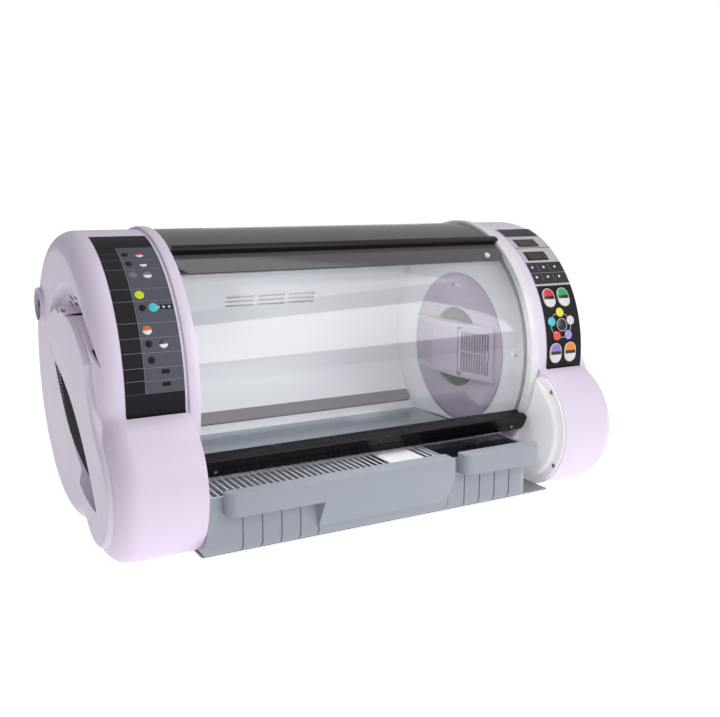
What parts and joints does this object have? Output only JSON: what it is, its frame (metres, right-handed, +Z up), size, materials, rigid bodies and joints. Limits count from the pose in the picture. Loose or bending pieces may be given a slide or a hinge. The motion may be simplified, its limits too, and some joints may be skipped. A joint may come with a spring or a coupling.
{
  "type": "veterinary incubator",
  "caption": "Lying barrel incubator for small animals with clear roll-up front door, end housings, pull-out trays and control panel.",
  "frame": {"origin": "on the ground under the middle of the overall box", "axes": "+X along the barrel towards the control panel end, -Y towards the front door, +Z up"},
  "size_m": [0.9, 0.549, 0.471],
  "materials": {
    "lilac_housing": "satin moulded ABS",
    "white_plastic": "glossy moulded ABS",
    "smoked_acrylic": "polished smoked acrylic",
    "clear_acrylic": "polished clear acrylic",
    "black_plastic": "satin black extrusion",
    "drawer_grey": "satin moulded ABS",
    "floor_grey": "satin enamel",
    "base_grey": "powder coat",
    "white_wire": "dipped white coating",
    "unit_lilac_grey": "moulded polycarbonate",
    "grey_plastic": "moulded",
    "steel": "brushed",
    "motor_metal": "die cast",
    "board_green": "solder mask",
    "display_glass": "tinted window",
    "rubber_foot": "matt",
    "label_film": "printed film, left plain",
    "key_red": "glossy",
    "key_green": "glossy",
    "key_violet": "glossy",
    "key_orange": "glossy",
    "key_yellow": "glossy",
    "key_cyan": "glossy",
    "key_white": "glossy",
    "key_purple": "glossy",
    "key_pink": "glossy"
  },
  "bodies": {
    "cabinet": {"left_housing": "lilac_housing", "right_housing": "lilac_housing", "left_side_panel": "white_plastic", "right_side_panel": "white_plastic", "left_ring": "white_plastic", "right_ring": "white_plastic", "top_cover": "smoked_acrylic", "rear_shell": "white_plastic", "rear_liner": "white_plastic", "top_rail": "black_plastic", "front_sill": "clear_acrylic", "rear_rail": "grey_plastic", "chamber_floor": "floor_grey", "base_frame": "base_grey", "left_end_wall": "white_plastic", "right_end_wall": "white_plastic", "circulation_cover": "unit_lilac_grey", "grille_hinge_pin": "steel", "fan_shroud": "grey_plastic", "fan_motor": "motor_metal", "motor_bracket": "steel", "heater": "steel", "control_panel": "black_plastic", "upper_display": "display_glass", "lower_display": "display_glass", "indicator_block": "black_plastic", "keypad": "black_plastic", "instruction_panel": "label_film", "cover_cap": "white_plastic", "wall_knob": "white_plastic", "side_port": "white_plastic", "lobe_cheek": "clear_acrylic", "cheek_screws": "steel", "feet": "rubber_foot", "power_inlet": "black_plastic", "control_board": "board_green"},
    "door": {"door_sheet": "clear_acrylic", "door_rail": "black_plastic", "door_rail_pins": "steel"},
    "waste_tray": {"waste_drawer": "drawer_grey", "wire_rack": "white_wire"},
    "water_tray": {"tank_drawer": "drawer_grey", "tank_lid": "black_plastic"},
    "grille_door": {"filter_grille": "unit_lilac_grey", "grille_latch": "unit_lilac_grey"},
    "fan": {"fan_rotor": "grey_plastic"},
    "rocker": {"power_switch": "black_plastic"},
    "push_key_red": {"key_red": "key_red"},
    "push_key_green": {"key_green": "key_green"},
    "push_key_violet": {"key_violet": "key_violet"},
    "push_key_orange": {"key_orange": "key_orange"},
    "push_key_dial": {"key_dial": "black_plastic"},
    "push_key_yellow": {"key_yellow": "key_yellow"},
    "push_key_white": {"key_white": "key_white"},
    "push_key_purple": {"key_purple": "key_purple"},
    "push_key_pink": {"key_pink": "key_pink"},
    "push_key_cyan": {"key_cyan": "key_cyan"}
  },
  "joints": [
    {"name": "door_roll", "type": "hinge", "parent": "cabinet", "child": "door", "pos_m": [0, 0.0405, 0.237], "axis": [-1, 0, 0], "range_deg": [0, 72]},
    {"name": "waste_slide", "type": "slide", "parent": "cabinet", "child": "waste_tray", "axis": [0, -1, 0], "range_m": [0, 0.24]},
    {"name": "water_slide", "type": "slide", "parent": "cabinet", "child": "water_tray", "axis": [0, -1, 0], "range_m": [0, 0.24]},
    {"name": "grille_swing", "type": "hinge", "parent": "cabinet", "child": "grille_door", "pos_m": [0.28924, -0.0001, 0.225], "axis": [0, 0, -1], "range_deg": [0, 90]},
    {"name": "fan_spin", "type": "hinge", "parent": "cabinet", "child": "fan", "pos_m": [0.321, 0.0435, 0.225], "axis": [1, 0, 0], "continuous": true},
    {"name": "rocker_tilt", "type": "hinge", "parent": "cabinet", "child": "rocker", "pos_m": [0.364, 0.2557, 0.1816], "axis": [1, 0, 0], "range_deg": [0, 12]},
    {"name": "key_red_press", "type": "slide", "parent": "cabinet", "child": "push_key_red", "axis": [0, 0.8973, -0.4415], "range_m": [0, 0.001], "stiffness_N_per_m": 700, "springref_m": -0.0008},
    {"name": "key_green_press", "type": "slide", "parent": "cabinet", "child": "push_key_green", "axis": [0, 0.8973, -0.4415], "range_m": [0, 0.001], "stiffness_N_per_m": 700, "springref_m": -0.0008},
    {"name": "key_violet_press", "type": "slide", "parent": "cabinet", "child": "push_key_violet", "axis": [0, 0.9997, -0.0262], "range_m": [0, 0.001], "stiffness_N_per_m": 700, "springref_m": -0.0008},
    {"name": "key_orange_press", "type": "slide", "parent": "cabinet", "child": "push_key_orange", "axis": [0, 0.9997, -0.0262], "range_m": [0, 0.001], "stiffness_N_per_m": 700, "springref_m": -0.0008},
    {"name": "key_dial_press", "type": "slide", "parent": "cabinet", "child": "push_key_dial", "axis": [0, 0.9715, -0.2368], "range_m": [0, 0.001], "stiffness_N_per_m": 700, "springref_m": -0.0008},
    {"name": "key_yellow_press", "type": "slide", "parent": "cabinet", "child": "push_key_yellow", "axis": [0, 0.9436, -0.331], "range_m": [0, 0.001], "stiffness_N_per_m": 700, "springref_m": -0.0008},
    {"name": "key_white_press", "type": "slide", "parent": "cabinet", "child": "push_key_white", "axis": [0, 0.9639, -0.2662], "range_m": [0, 0.001], "stiffness_N_per_m": 700, "springref_m": -0.0008},
    {"name": "key_purple_press", "type": "slide", "parent": "cabinet", "child": "push_key_purple", "axis": [0, 0.9873, -0.1589], "range_m": [0, 0.001], "stiffness_N_per_m": 700, "springref_m": -0.0008},
    {"name": "key_pink_press", "type": "slide", "parent": "cabinet", "child": "push_key_pink", "axis": [0, 0.9873, -0.1589], "range_m": [0, 0.001], "stiffness_N_per_m": 700, "springref_m": -0.0008},
    {"name": "key_cyan_press", "type": "slide", "parent": "cabinet", "child": "push_key_cyan", "axis": [0, 0.9639, -0.2662], "range_m": [0, 0.001], "stiffness_N_per_m": 700, "springref_m": -0.0008}
  ]
}
